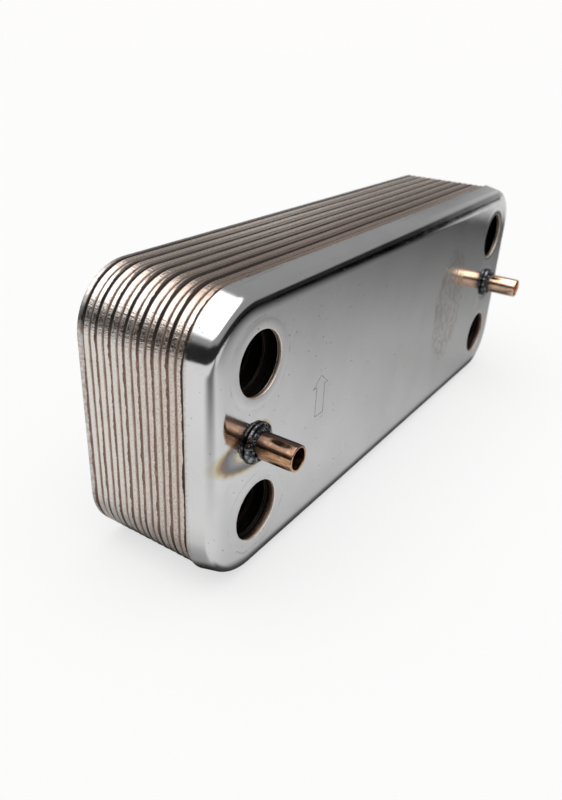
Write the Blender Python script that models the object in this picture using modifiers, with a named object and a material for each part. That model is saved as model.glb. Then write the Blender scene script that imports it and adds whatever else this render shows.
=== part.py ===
"""Brazed plate heat exchanger for the hot water side of a small boiler.

Sixteen stainless pans nest inside one another and are brazed together with copper. The front cover
has four ports and two copper studs, fourteen thin channel plates carry a herringbone pressing, and a
blind rear cover closes the stack. Every second channel plate is turned half a turn, so that the
herringbones cross and the two circuits alternate.

Frame: metres. The origin is the centre of the front cover's outer face. +X runs along the plates,
+Z across them, and the stack grows towards +Y. The ports open towards -Y.
"""

import math

import bmesh
import bpy
from mathutils import Matrix, Vector

MM = 0.001

# Outline, ports and stack
PLATE_LENGTH = 189.6 * MM
PLATE_WIDTH = 74.6 * MM
CORNER_RADIUS = 16.0 * MM
PORT_HALF_SPACING_X = 77.0 * MM
PORT_HALF_SPACING_Z = 20.0 * MM
PORT_RADIUS = 8.1 * MM
CHANNEL_PLATES = 14
PITCH = 2.15 * MM
STAGGER = 0.08 * MM  # turned plates sit this much further back, so the seams come in pairs

# Pressed sheet
COVER_THICKNESS = 0.8 * MM
SHEET_THICKNESS = 0.35 * MM
COVER_SKIRT_DEPTH = 7.2 * MM
SKIRT_FLARE = math.radians(13.0)
COVER_PROUD = 0.45 * MM  # the thicker front cover stands this far outside the channel plates
COVER_BEND_RADIUS = 3.5 * MM
PLATE_BEND_RADIUS = 2.0 * MM
BRAZE_GAP = 0.15 * MM  # clearance that stands for the copper between two parts
COVER_CORNER_STEPS = 8
PLATE_CORNER_STEPS = 4

# Front cover's raised sealing lands
LAND_RADIUS = 10.7 * MM
LAND_RAISE = 0.12 * MM
LAND_EDGE = 0.3 * MM
COVER_PORT_STEPS = 20

# Channel plate
PLATE_LAND_RADIUS = 11.5 * MM
PLATE_PORT_STEPS = 12
PLATE_LAND_LIFT = (PITCH - SHEET_THICKNESS - BRAZE_GAP) / 2
FIELD_LIFT = 0.81 * MM
FIELD_HALF_WIDTH = 31.0 * MM
FIELD_RIM = 2.2 * MM
FIELD_FIRST_APEX = -44.0 * MM
FIELD_LAST_APEX = 72.0 * MM
FIELD_WAVES = 14
CHEVRON_ANGLE = math.radians(30.0)
FIRST_FACE_Y = COVER_THICKNESS + BRAZE_GAP + PLATE_LAND_LIFT

# Rear cover
BLIND_PORT_RADIUS = 10.0 * MM
BLIND_PORT_PRESS = 0.5 * MM
BLIND_PORT_SLOPE = 1.2 * MM
BLIND_PORT_STEPS = 12

# Braze fillet behind each rim
FILLET_START = 0.24 * MM
FILLET_LENGTH = 0.6 * MM
FILLET_CLEARANCE = 0.06 * MM
FILLET_TIP = 0.06 * MM

# Spacer rings between the front cover and the first plate's sunken lands
SPACER_INNER_RADIUS = 8.3 * MM
SPACER_OUTER_RADIUS = 10.2 * MM
SPACER_CLEARANCE = 0.1 * MM

# Studs and their weld beads
# Each stud: x, z, and length from the cover's face to the open end
STUD_PLACES = {
    "left": (-77.8 * MM, 0.0, 11.8 * MM),
    "right": (79.0 * MM, 1.1 * MM, 12.5 * MM),
}
STUD_RADIUS = 3.4 * MM
STUD_BORE_RADIUS = 2.5 * MM
STUD_BORE_DEPTH = 9.5 * MM
STUD_BORE_CONE = 1.2 * MM
STUD_CHAMFER = 0.2 * MM
STUD_HOLE_RADIUS = STUD_RADIUS + 0.15 * MM
WELD_SEAT_RADIUS = 6.0 * MM
WELD_SEAT_DEPTH = 0.1 * MM
WELD_SEAT_EDGE = 0.2 * MM
BEAD_INNER_RADIUS = STUD_RADIUS + 0.08 * MM
BEAD_OUTER_RADIUS = 5.5 * MM
BEAD_HEIGHT = 2.2 * MM
BEAD_CLEARANCE = 0.05 * MM  # above the cover's face
TURNED_STEPS = 20
MERGE = 0.00001  # Screw merge distance, metres

FACING_FRONT = math.radians(90.0)  # about X: turns a piece's own +Z towards -Y
HALF_TURN = math.pi
SHARP_ANGLE = math.radians(40.0)

MATERIALS = {
    "stainless": ((0.62, 0.62, 0.62), 0.28, 1.0),
    "copper": ((0.80, 0.45, 0.28), 0.30, 1.0),
    "braze": ((0.52, 0.36, 0.27), 0.42, 1.0),
    "weld": ((0.30, 0.30, 0.31), 0.35, 1.0),
}


# Scene set-up -------------------------------------------------------------------------------------

for leftover in list(bpy.data.objects):
    bpy.data.objects.remove(leftover, do_unlink=True)

COLLECTION = bpy.data.collections.new("plate_heat_exchanger")
bpy.context.scene.collection.children.link(COLLECTION)


def make_material(name):
    colour, roughness, metallic = MATERIALS[name]
    material = bpy.data.materials.new(name)
    material.use_nodes = True
    surface = material.node_tree.nodes["Principled BSDF"]
    surface.inputs["Base Color"].default_value = (*colour, 1.0)
    surface.inputs["Roughness"].default_value = roughness
    surface.inputs["Metallic"].default_value = metallic
    return material


FINISHES = {name: make_material(name) for name in MATERIALS}


def mesh_from(bm, name, finish):
    """A smoothly shaded mesh made from a bmesh, which is freed."""
    mesh = bpy.data.meshes.new(name)
    bm.to_mesh(mesh)
    bm.free()
    mesh.shade_smooth()
    mesh.set_sharp_from_angle(angle=SHARP_ANGLE)
    mesh.materials.append(FINISHES[finish])
    return mesh


def add_object(name, mesh, location=(0.0, 0.0, 0.0), rotation=(0.0, 0.0, 0.0)):
    placed = bpy.data.objects.new(name, mesh)
    COLLECTION.objects.link(placed)
    placed.location = location
    placed.rotation_euler = rotation
    return placed


def add_sheet_thickness(placed, thickness):
    """Thickens an open sheet towards the rear, away from its front surface."""
    solidify = placed.modifiers.new("sheet", "SOLIDIFY")
    solidify.thickness = thickness
    solidify.offset = -1.0
    solidify.use_even_offset = True


# Rounded-rectangle sweeps -------------------------------------------------------------------------


def outline_points(inset, corner_steps):
    """Points of the plate's outline, moved inwards by inset: an arc at each corner."""
    radius = CORNER_RADIUS - inset
    points = []
    for quarter in range(4):
        first = quarter * math.pi / 2
        middle = first + math.pi / 4
        centre_x = math.copysign(PLATE_LENGTH / 2 - CORNER_RADIUS, math.cos(middle))
        centre_z = math.copysign(PLATE_WIDTH / 2 - CORNER_RADIUS, math.sin(middle))
        for step in range(corner_steps + 1):
            angle = first + step * math.pi / 2 / corner_steps
            x = centre_x + radius * math.cos(angle)
            z = centre_z + radius * math.sin(angle)
            points.append((x, z))
    return points


def outline_ring(bm, inset, y, corner_steps):
    """A closed ring of edges along the outline."""
    verts = [bm.verts.new((x, y, z)) for x, z in outline_points(inset, corner_steps)]
    return [bm.edges.new((a, b)) for a, b in zip(verts, verts[1:] + verts[:1])]


def extrude_ring(bm, edges, move):
    """Extrudes a ring of edges, calls move(vertex) on each new vertex and returns the new edges."""
    made = bmesh.ops.extrude_edge_only(bm, edges=edges)["geom"]
    for item in made:
        if isinstance(item, bmesh.types.BMVert):
            move(item)
    return [item for item in made if isinstance(item, bmesh.types.BMEdge) and item.is_boundary]


def outline_mover(inset, y):
    """Moves an outline vertex along its own corner's radius to another inset and depth."""

    def move(vert):
        centre_x = math.copysign(PLATE_LENGTH / 2 - CORNER_RADIUS, vert.co.x)
        centre_z = math.copysign(PLATE_WIDTH / 2 - CORNER_RADIUS, vert.co.z)
        out = Vector((vert.co.x - centre_x, vert.co.z - centre_z)).normalized()
        radius = CORNER_RADIUS - inset
        vert.co = (centre_x + out.x * radius, y, centre_z + out.y * radius)

    return move


def port_mover(centre, radius, y):
    """Moves a port vertex to another radius and depth."""

    def move(vert):
        out = Vector((vert.co.x - centre[0], vert.co.z - centre[1])).normalized()
        vert.co = (centre[0] + out.x * radius, y, centre[1] + out.y * radius)

    return move


def circle_ring(bm, centre, radius, steps):
    """A circle of edges in the plane y = 0."""
    place = Matrix.Translation((centre[0], 0.0, centre[1])) @ Matrix.Rotation(FACING_FRONT, 4, "X")
    made = bmesh.ops.create_circle(bm, cap_ends=False, segments=steps, radius=radius, matrix=place)
    ring = set(made["verts"])
    return [edge for edge in bm.edges if edge.verts[0] in ring and edge.verts[1] in ring]


def fill_flat(bm, edges):
    """Fills the flat area between an outline and the rings inside it."""
    bmesh.ops.triangle_fill(bm, use_beauty=True, edges=edges)


def skirt_profile(face_y, rim_y, bend_radius, bend_steps, proud=0.0):
    """(inset, y) of a pan's outer surface, from the flat face's edge to the rim."""
    flare = math.tan(SKIRT_FLARE)
    centre_y = face_y + bend_radius
    skirt_y = centre_y - bend_radius * math.sin(SKIRT_FLARE)
    centre_inset = bend_radius * math.cos(SKIRT_FLARE) + (rim_y - skirt_y) * flare - proud
    profile = []
    for step in range(bend_steps + 1):
        angle = math.pi / 2 + (SKIRT_FLARE - math.pi / 2) * step / bend_steps
        inset = centre_inset - bend_radius * math.cos(angle)
        profile.append((inset, centre_y - bend_radius * math.sin(angle)))
    profile.append((-proud, rim_y))
    return profile


def add_skirt(bm, edges, profile):
    """Carries the face's outer edges round the bend and down the skirt."""
    for inset, y in profile:
        edges = extrude_ring(bm, edges, outline_mover(inset, y))


def port_centres():
    """The four ports' (x, z)."""
    return [
        (side * PORT_HALF_SPACING_X, level * PORT_HALF_SPACING_Z)
        for side in (-1, 1)
        for level in (-1, 1)
    ]


def face_front(bm):
    """Turns every face so that the sheet's front surface faces out."""
    bmesh.ops.recalc_face_normals(bm, faces=bm.faces)
    middle = max(bm.faces, key=lambda face: face.calc_area())
    if middle.normal.y > 0:
        bmesh.ops.reverse_faces(bm, faces=bm.faces)


# The pieces ---------------------------------------------------------------------------------------


def make_front_cover():
    bm = bmesh.new()
    profile = skirt_profile(0.0, COVER_SKIRT_DEPTH, COVER_BEND_RADIUS, 4, COVER_PROUD)
    edge_inset = profile[0][0]
    outer = outline_ring(bm, edge_inset, 0.0, COVER_CORNER_STEPS)
    ports = {
        centre: circle_ring(bm, centre, LAND_RADIUS + LAND_EDGE, COVER_PORT_STEPS)
        for centre in port_centres()
    }
    seats = {
        (x, z): circle_ring(bm, (x, z), WELD_SEAT_RADIUS, TURNED_STEPS)
        for x, z, _ in STUD_PLACES.values()
    }
    fill_flat(bm, outer + sum(ports.values(), []) + sum(seats.values(), []))
    for centre, ring in ports.items():
        ring = extrude_ring(bm, ring, port_mover(centre, LAND_RADIUS, -LAND_RAISE))
        extrude_ring(bm, ring, port_mover(centre, PORT_RADIUS, -LAND_RAISE))
    for centre, ring in seats.items():
        inner_radius = WELD_SEAT_RADIUS - WELD_SEAT_EDGE
        ring = extrude_ring(bm, ring, port_mover(centre, inner_radius, WELD_SEAT_DEPTH))
        extrude_ring(bm, ring, port_mover(centre, STUD_HOLE_RADIUS, WELD_SEAT_DEPTH))
    add_skirt(bm, outer, profile[1:])
    face_front(bm)
    cover = add_object("front_cover", mesh_from(bm, "front_cover", "stainless"))
    add_sheet_thickness(cover, COVER_THICKNESS)


def make_rear_cover():
    bm = bmesh.new()
    depth = rim_y(CHANNEL_PLATES + 1) - face_y(CHANNEL_PLATES + 1)
    profile = skirt_profile(0.0, depth, PLATE_BEND_RADIUS, 2)
    outer = outline_ring(bm, profile[0][0], 0.0, PLATE_CORNER_STEPS)
    blinds = {
        centre: circle_ring(bm, centre, BLIND_PORT_RADIUS, BLIND_PORT_STEPS)
        for centre in port_centres()
    }
    fill_flat(bm, outer + sum(blinds.values(), []))
    for centre, ring in blinds.items():
        inner_radius = BLIND_PORT_RADIUS - BLIND_PORT_SLOPE
        ring = extrude_ring(bm, ring, port_mover(centre, inner_radius, BLIND_PORT_PRESS))
        bmesh.ops.contextual_create(bm, geom=ring)
    add_skirt(bm, outer, profile[1:])
    face_front(bm)
    mesh = mesh_from(bm, "rear_cover", "stainless")
    cover = add_object("rear_cover", mesh, (0.0, face_y(CHANNEL_PLATES + 1), 0.0))
    add_sheet_thickness(cover, COVER_THICKNESS)


def field_point(line, across):
    """(x, y, z) on the herringbone field: across runs from -1 at one long side to +1 at the other."""
    apex = FIELD_FIRST_APEX + (FIELD_LAST_APEX - FIELD_FIRST_APEX) * line / FIELD_WAVES
    z = across * FIELD_HALF_WIDTH
    on_border = line in (0, FIELD_WAVES) or abs(across) == 1
    lift = 0.0 if on_border else FIELD_LIFT * (-1) ** line
    return (apex - abs(z) * math.tan(CHEVRON_ANGLE), lift, z)


def add_field(bm):
    """The herringbone as a grid of lines by rows, still flat. Returns its border and its heights."""
    inner = 1 - FIELD_RIM / FIELD_HALF_WIDTH
    rows = (-1, -inner, 0, inner, 1)
    made = bmesh.ops.create_grid(bm, x_segments=FIELD_WAVES, y_segments=len(rows) - 1, size=0.5)
    lifts = {}
    for vert in made["verts"]:
        line = round((vert.co.x + 0.5) * FIELD_WAVES)
        row = round((vert.co.y + 0.5) * (len(rows) - 1))
        x, lift, z = field_point(line, rows[row])
        vert.co = (x, 0.0, z)
        lifts[vert] = lift
    border = [edge for edge in bm.edges if edge.is_boundary and edge.verts[0] in lifts]
    return border, lifts


def make_channel_plate_mesh():
    """One pressed plate. Its upper lands are raised to the front and its lower lands sunk to the rear."""
    bm = bmesh.new()
    border, lifts = add_field(bm)
    profile = skirt_profile(0.0, rim_y(1) - face_y(1), PLATE_BEND_RADIUS, 1)
    outer = outline_ring(bm, profile[0][0], 0.0, PLATE_CORNER_STEPS)
    ports = {
        centre: circle_ring(bm, centre, PLATE_LAND_RADIUS, PLATE_PORT_STEPS)
        for centre in port_centres()
    }
    fill_flat(bm, outer + border + sum(ports.values(), []))
    for vert, lift in lifts.items():
        vert.co.y = lift
    for centre, ring in ports.items():
        level = -PLATE_LAND_LIFT if centre[1] > 0 else PLATE_LAND_LIFT
        for edge in ring:
            for vert in edge.verts:
                vert.co.y = level
        extrude_ring(bm, ring, port_mover(centre, PORT_RADIUS, level))
    add_skirt(bm, outer, profile[1:])
    face_front(bm)
    return mesh_from(bm, "channel_plate", "stainless")


def face_y(index):
    """Depth of a pan's flat rim, counting channel plates from 1 and the rear cover last."""
    if index > CHANNEL_PLATES:
        return face_y(CHANNEL_PLATES) + PLATE_LAND_LIFT + SHEET_THICKNESS + BRAZE_GAP
    return FIRST_FACE_Y + (index - 1) * PITCH + (STAGGER if index % 2 == 0 else 0.0)


def rim_y(index):
    """Depth of a pan's rim. Index 0 is the front cover."""
    nominal = COVER_SKIRT_DEPTH + index * PITCH
    turned = index % 2 == 0 and 0 < index <= CHANNEL_PLATES
    return nominal + (STAGGER if turned else 0.0)


def make_channel_plates():
    mesh = make_channel_plate_mesh()
    for index in range(1, CHANNEL_PLATES + 1):
        turn = HALF_TURN if index % 2 == 0 else 0.0
        name = f"channel_plate_{index:02d}"
        plate = add_object(name, mesh, (0.0, face_y(index), 0.0), (0.0, turn, 0.0))
        add_sheet_thickness(plate, SHEET_THICKNESS)


def make_braze_seams():
    """The copper fillet behind each rim, lying on the next pan's skirt."""
    for index in range(CHANNEL_PLATES + 1):
        next_rim = rim_y(index + 1)
        start_y = rim_y(index) + FILLET_START
        end_y = start_y + FILLET_LENGTH

        def skirt_inset(y, next_rim=next_rim):
            return (next_rim - y) * math.tan(SKIRT_FLARE) - FILLET_CLEARANCE

        bm = bmesh.new()
        first = outline_ring(bm, skirt_inset(start_y), start_y, PLATE_CORNER_STEPS)
        tip = extrude_ring(bm, first, outline_mover(skirt_inset(end_y) - FILLET_TIP, end_y))
        top_inset = FILLET_TIP if index else FILLET_TIP - COVER_PROUD
        top = extrude_ring(bm, tip, outline_mover(top_inset, start_y))
        bmesh.ops.bridge_loops(bm, edges=top + first)
        bmesh.ops.recalc_face_normals(bm, faces=bm.faces)
        name = f"braze_seam_{index + 1:02d}"
        add_object(name, mesh_from(bm, name, "braze"))


def add_turned(name, finish, profile, closed, location):
    """A turned piece about its own +Z. The profile runs down the outer side, top to bottom."""
    bm = bmesh.new()
    verts = [bm.verts.new((radius, 0.0, height)) for radius, height in profile]
    ends = verts[1:] + verts[:1] if closed else verts[1:]
    for a, b in zip(verts, ends):
        bm.edges.new((a, b))
    piece = add_object(name, mesh_from(bm, name, finish), location, (FACING_FRONT, 0.0, 0.0))
    screw = piece.modifiers.new("turn", "SCREW")
    screw.steps = TURNED_STEPS
    screw.render_steps = TURNED_STEPS
    screw.use_merge_vertices = True
    screw.merge_threshold = MERGE
    screw.use_smooth_shade = True


def make_studs():
    base = -COVER_THICKNESS + SPACER_CLEARANCE
    bead_profile = [
        (BEAD_INNER_RADIUS, BEAD_CLEARANCE),
        (BEAD_INNER_RADIUS, BEAD_HEIGHT * 0.9),
        (BEAD_INNER_RADIUS + 0.5 * MM, BEAD_HEIGHT),
        (BEAD_OUTER_RADIUS - 0.6 * MM, BEAD_HEIGHT * 0.55),
        (BEAD_OUTER_RADIUS, BEAD_CLEARANCE),
    ]
    for word, (x, z, length) in STUD_PLACES.items():
        bore_end = length - STUD_BORE_DEPTH
        stud_profile = [
            (0.0, bore_end - STUD_BORE_CONE),
            (STUD_BORE_RADIUS, bore_end),
            (STUD_BORE_RADIUS, length - STUD_CHAMFER),
            (STUD_BORE_RADIUS + STUD_CHAMFER, length),
            (STUD_RADIUS - STUD_CHAMFER, length),
            (STUD_RADIUS, length - STUD_CHAMFER),
            (STUD_RADIUS, base),
            (0.0, base),
        ]
        centre = (x, 0.0, z)
        add_turned(f"stud_{word}", "copper", stud_profile, False, centre)
        add_turned(f"weld_bead_{word}", "weld", bead_profile, True, centre)


def make_spacer_rings():
    """Rings that seal the lower ports across the dead space in front of the first plate."""
    front = -(COVER_THICKNESS - LAND_RAISE + SPACER_CLEARANCE)
    rear = -(face_y(1) + PLATE_LAND_LIFT - SPACER_CLEARANCE)
    profile = [
        (SPACER_INNER_RADIUS, front),
        (SPACER_OUTER_RADIUS, front),
        (SPACER_OUTER_RADIUS, rear),
        (SPACER_INNER_RADIUS, rear),
    ]
    for side, word in ((-1, "left"), (1, "right")):
        centre = (side * PORT_HALF_SPACING_X, 0.0, -PORT_HALF_SPACING_Z)
        add_turned(f"port_spacer_{word}", "copper", profile, True, centre)


make_front_cover()
make_channel_plates()
make_rear_cover()
make_braze_seams()
make_studs()
make_spacer_rings()
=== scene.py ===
"""Looks of the brazed plate heat exchanger: fine pressed pans, rough copper seams, welded copper studs.

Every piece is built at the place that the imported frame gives. Lengths are metres in the meshes. The
material nodes read object coordinates times a thousand, so their lengths are millimetres.
"""

import math

import bmesh
import bpy
from mathutils import Matrix, Vector, noise


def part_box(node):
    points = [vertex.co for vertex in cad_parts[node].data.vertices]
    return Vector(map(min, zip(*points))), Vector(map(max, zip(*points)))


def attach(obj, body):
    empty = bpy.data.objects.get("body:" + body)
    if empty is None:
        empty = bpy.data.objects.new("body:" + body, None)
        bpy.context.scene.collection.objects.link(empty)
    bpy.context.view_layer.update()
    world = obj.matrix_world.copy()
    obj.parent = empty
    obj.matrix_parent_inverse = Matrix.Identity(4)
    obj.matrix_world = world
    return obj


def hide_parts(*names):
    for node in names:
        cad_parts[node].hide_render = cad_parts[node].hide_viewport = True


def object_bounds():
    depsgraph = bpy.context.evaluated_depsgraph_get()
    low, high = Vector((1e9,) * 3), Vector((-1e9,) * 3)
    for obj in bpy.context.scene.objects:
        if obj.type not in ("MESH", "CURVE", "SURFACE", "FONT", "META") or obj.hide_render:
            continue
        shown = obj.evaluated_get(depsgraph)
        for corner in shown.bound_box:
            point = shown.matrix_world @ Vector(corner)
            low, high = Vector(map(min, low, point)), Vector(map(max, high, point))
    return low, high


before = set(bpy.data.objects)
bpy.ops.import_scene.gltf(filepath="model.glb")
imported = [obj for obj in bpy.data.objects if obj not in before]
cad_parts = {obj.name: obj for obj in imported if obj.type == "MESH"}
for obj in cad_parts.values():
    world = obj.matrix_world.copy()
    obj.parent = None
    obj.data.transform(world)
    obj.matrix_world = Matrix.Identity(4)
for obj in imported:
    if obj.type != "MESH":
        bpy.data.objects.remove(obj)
CAD_BOUNDS = [list(corner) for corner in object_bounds()]

ROOT = "root"
MM = 0.001
CHANNEL_PLATES = 14
PITCH = 2.15 * MM
CORNER_RADIUS = 16.0 * MM
COVER_CORNER_RADIUS = 16.45 * MM
PORT_X = 77.0 * MM
PORT_Z = 20.0 * MM
COVER_PORT_RADIUS = 8.1 * MM
COVER_THICKNESS = 0.8 * MM
COVER_EDGE = 0.20 * MM
SHEET_THICKNESS = 0.35 * MM
SHEET_EDGE = 0.13 * MM

SKIRT_FLARE = math.radians(13.0)
SKIRT_TILT = 77.0
# (radius, end tilt in degrees, steps) of each arc from the flat face to the skirt
COVER_BEND = ((10.5 * MM, 15.0, 6), (3.3 * MM, SKIRT_TILT, 10))
REAR_BEND = ((2.0 * MM, SKIRT_TILT, 8),)
PLATE_BEND = ((2.0 * MM, SKIRT_TILT, 5),)
# Distances of a skirt's loops from its rim
COVER_SKIRT_LOOPS = (1.5 * MM, 0.8 * MM, 0.3 * MM, 0.0)
SKIRT_LOOPS = [distance * MM for distance in (3.2, 2.15, 1.75, 1.45, 1.2, 1.0, 0.7, 0.4, 0.15, 0.0)]
SIDE_STEP = 2.5 * MM
SHARP_ANGLE = 60.0


# Mesh helpers --------------------------------------------------------------------------------------


def new_object(name, bm, material):
    """Turns a bmesh into an object in the scene."""
    mesh = bpy.data.meshes.new(name)
    bm.to_mesh(mesh)
    bm.free()
    mesh.materials.append(material)
    obj = bpy.data.objects.new(name, mesh)
    bpy.context.scene.collection.objects.link(obj)
    return obj


def new_piece(name, bm, material, slot, *nodes):
    """Turns a bmesh into a shown piece that rides on the one body and stands for the CAD nodes."""
    piece = new_object(name, bm, material)
    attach(piece, ROOT)
    if nodes:
        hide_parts(*nodes)
    return piece


def shade(piece, degrees=SHARP_ANGLE):
    """Smooth shading, with edges sharper than the angle kept sharp."""
    piece.data.shade_smooth()
    piece.data.set_sharp_from_angle(angle=math.radians(degrees))


def outline(half_x, half_z, radius, corner_steps, side_step):
    """(x, z, outward x, outward z) round a rounded rectangle, anticlockwise from the right-hand side."""
    points = []
    for quarter in range(4):
        first = quarter * math.pi / 2
        middle = first + math.pi / 4
        sign_x = math.copysign(1, math.cos(middle))
        sign_z = math.copysign(1, math.sin(middle))
        centre_x = sign_x * (half_x - radius)
        centre_z = sign_z * (half_z - radius)
        for step in range(corner_steps + 1):
            angle = first + step * math.pi / 2 / corner_steps
            out_x, out_z = math.cos(angle), math.sin(angle)
            points.append((centre_x + radius * out_x, centre_z + radius * out_z, out_x, out_z))
        end = points[-1]
        along_x = quarter % 2 == 0
        length = 2 * ((half_x if along_x else half_z) - radius)
        count = max(1, round(length / side_step))
        for step in range(1, count):
            shift = length * step / count
            x = end[0] - sign_x * shift if along_x else end[0]
            z = end[1] if along_x else end[1] - sign_z * shift
            points.append((x, z, end[2], end[3]))
    return points


def ring_loop(bm, points, inset, y, wobble=None):
    """A loop of vertices at an inset from the outline. wobble(x, z) gives a further (inset, y)."""
    verts = []
    for x, z, out_x, out_z in points:
        more_inset, more_y = wobble(x, z) if wobble else (0.0, 0.0)
        depth = inset + more_inset
        verts.append(bm.verts.new((x - out_x * depth, y + more_y, z - out_z * depth)))
    return verts


def circle_loop(bm, centre, radius, y, steps):
    """A loop of vertices on a circle that faces -Y, with its centre given as (x, z)."""
    verts = []
    for step in range(steps):
        angle = 2 * math.pi * step / steps
        x = centre[0] + radius * math.cos(angle)
        verts.append(bm.verts.new((x, y, centre[1] + radius * math.sin(angle))))
    return verts


def skin(bm, loops):
    """Quads between each closed loop and the next."""
    for first, second in zip(loops, loops[1:]):
        for i in range(len(first)):
            j = (i + 1) % len(first)
            bm.faces.new((first[i], first[j], second[j], second[i]))


def fill_between(bm, loops):
    """Fills the flat area between an outer loop and the loops inside it."""
    edges = []
    for loop in loops:
        for a, b in zip(loop, loop[1:] + loop[:1]):
            edges.append(bm.edges.get((a, b)) or bm.edges.new((a, b)))
    bmesh.ops.triangle_fill(bm, use_beauty=True, edges=edges)


def face_front(bm):
    """Turns the sheet so that its front faces -Y."""
    bmesh.ops.recalc_face_normals(bm, faces=bm.faces)
    largest = max(bm.faces, key=lambda face: face.calc_area())
    if largest.normal.y > 0:
        bmesh.ops.reverse_faces(bm, faces=bm.faces)


def shift_back(bm, distance):
    """Moves a sheet that was built at y = 0 to its place in the stack."""
    for vert in bm.verts:
        vert.co.y += distance


def skirt_profile(depth, bend, from_rim):
    """(inset, y) from the flat face's edge to the rim, with the face at y = 0.

    bend holds the (radius, end tilt in degrees, steps) of each arc from the face to the skirt.
    from_rim holds the distances of the skirt's loops from the rim, the largest first.
    """
    flare = math.tan(SKIRT_FLARE)
    outward, back, tilt = 0.0, 0.0, 0.0
    arcs = [(outward, back)]
    for radius, end_degrees, steps in bend:
        end = math.radians(end_degrees)
        for step in range(1, steps + 1):
            angle = tilt + (end - tilt) * step / steps
            arcs.append((outward + radius * (math.sin(angle) - math.sin(tilt)),
                         back + radius * (math.cos(tilt) - math.cos(angle))))
        outward, back = arcs[-1]
        tilt = end
    start_inset = outward + (depth - back) * flare
    profile = [(start_inset - along, y) for along, y in arcs]
    for distance in from_rim:
        profile.append((distance * flare, depth - distance))
    return profile


def smooth_step(value, low=0.0, high=1.0):
    """0 up to low and 1 from high on, with a smooth rise between."""
    share = max(0.0, min(1.0, (value - low) / (high - low)))
    return share * share * (3 - 2 * share)


def is_deep(rim_index):
    """Every second groove is deep and empty. The cover's rim is number 0."""
    return rim_index % 2 == 0


def groove_weight(z, rim_index):
    """How dark the painted shade in a deep groove is at a height: black along the long sides, brown round the
    ends.
    """
    if rim_index == 0:
        return 0.85
    return 0.10 + 0.90 * smooth_step(abs(z), 18.0 * MM, 30.0 * MM)


def mark_groove(loops, profile, depth, layer, index):
    """Sets the painted shade on the part of a skirt that lies in a deep groove behind the rim in front.

    ahead is 0 at the skirt's own rim and 1 at the rim in front.
    """
    if not is_deep(index - 1):
        return
    for loop, (_, y) in zip(loops, profile):
        ahead = (depth - y) / PITCH
        for vert in loop:
            weight = groove_weight(vert.co.z, index - 1)
            if index == 1:
                vert[layer] = weight * smooth_step(ahead, 0.56, 0.72)
                continue
            # The painted shade reaches furthest out on the long sides near the left-hand end.
            long_side = smooth_step(abs(vert.co.z), 34.0 * MM, 36.6 * MM)
            top_left_shade = smooth_step(-vert.co.x, 25.0 * MM, 70.0 * MM) * long_side
            foot = smooth_step(ahead, 0.40 - 0.12 * long_side - 0.14 * top_left_shade, 0.56 - 0.12 * top_left_shade)
            dark = max(foot * weight, 0.40 * long_side)
            vert[layer] = dark * (1.0 - smooth_step(ahead, 1.3, 1.9))


def add_thickness(piece, thickness, edge_radius):
    """Sheet thickness towards the rear, with the cut edges rounded."""
    solidify = piece.modifiers.new("sheet", "SOLIDIFY")
    solidify.thickness = thickness
    solidify.offset = -1.0
    solidify.use_even_offset = True
    bevel = piece.modifiers.new("edges", "BEVEL")
    bevel.limit_method = "ANGLE"
    bevel.angle_limit = math.radians(50.0)
    bevel.width = edge_radius
    bevel.segments = 3


def axis_of(node):
    """((x, z), radius) of a turned CAD node."""
    low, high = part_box(node)
    return ((low.x + high.x) / 2, (low.z + high.z) / 2), (high.z - low.z) / 2


def ports():
    """(x, z) of each port's axis."""
    return [(side * PORT_X, level * PORT_Z) for side in (-1, 1) for level in (-1, 1)]


# Node helpers --------------------------------------------------------------------------------------


class Nodes:
    """A node tree, with short calls for the nodes used here.

    A value is a number, a tuple or the output of another node.
    """

    def __init__(self, tree):
        self.tree = tree
        self.coordinates = self.new("TexCoord").outputs

    def new(self, kind, **settings):
        node = self.tree.nodes.new(f"ShaderNode{kind}")
        for name, value in settings.items():
            setattr(node, name, value)
        return node

    def link(self, value, target):
        if isinstance(value, (int, float)):
            target.default_value = value
        elif isinstance(value, tuple):
            target.default_value = value if target.type == "VECTOR" else (*value, 1.0)
        else:
            self.tree.links.new(value, target)

    def feed(self, node, *values):
        """Feeds the node's first inputs in order, and gives its first output."""
        for value, target in zip(values, node.inputs):
            self.link(value, target)
        return node.outputs[0]

    def math(self, operation, *values, clamp=False):
        return self.feed(self.new("Math", operation=operation, use_clamp=clamp), *values)

    def add(self, first, *others):
        for other in others:
            first = self.math("ADD", first, other)
        return first

    def sub(self, a, b):
        return self.math("SUBTRACT", a, b)

    def mul(self, first, *others):
        for other in others:
            first = self.math("MULTIPLY", first, other)
        return first

    def sum(self, base, *terms):
        """base plus every (value, weight) term."""
        for value, weight in terms:
            base = self.add(base, self.mul(value, weight))
        return base

    def inverse(self, value):
        """One minus the value."""
        return self.sub(1.0, value)

    def absolute(self, value):
        return self.math("ABSOLUTE", value)

    def length(self, a, b):
        """The length of the two-dimensional vector (a, b)."""
        return self.math("SQRT", self.add(self.mul(a, a), self.mul(b, b)))

    def between(self, value, low, high, out_low=0.0, out_high=1.0):
        """Smoothly maps value from low..high to out_low..out_high, clamped."""
        node = self.new("MapRange", interpolation_type="SMOOTHSTEP")
        return self.feed(node, value, low, high, out_low, out_high)

    def split(self, vector):
        node = self.new("SeparateXYZ")
        self.link(vector, node.inputs[0])
        return node.outputs


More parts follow.
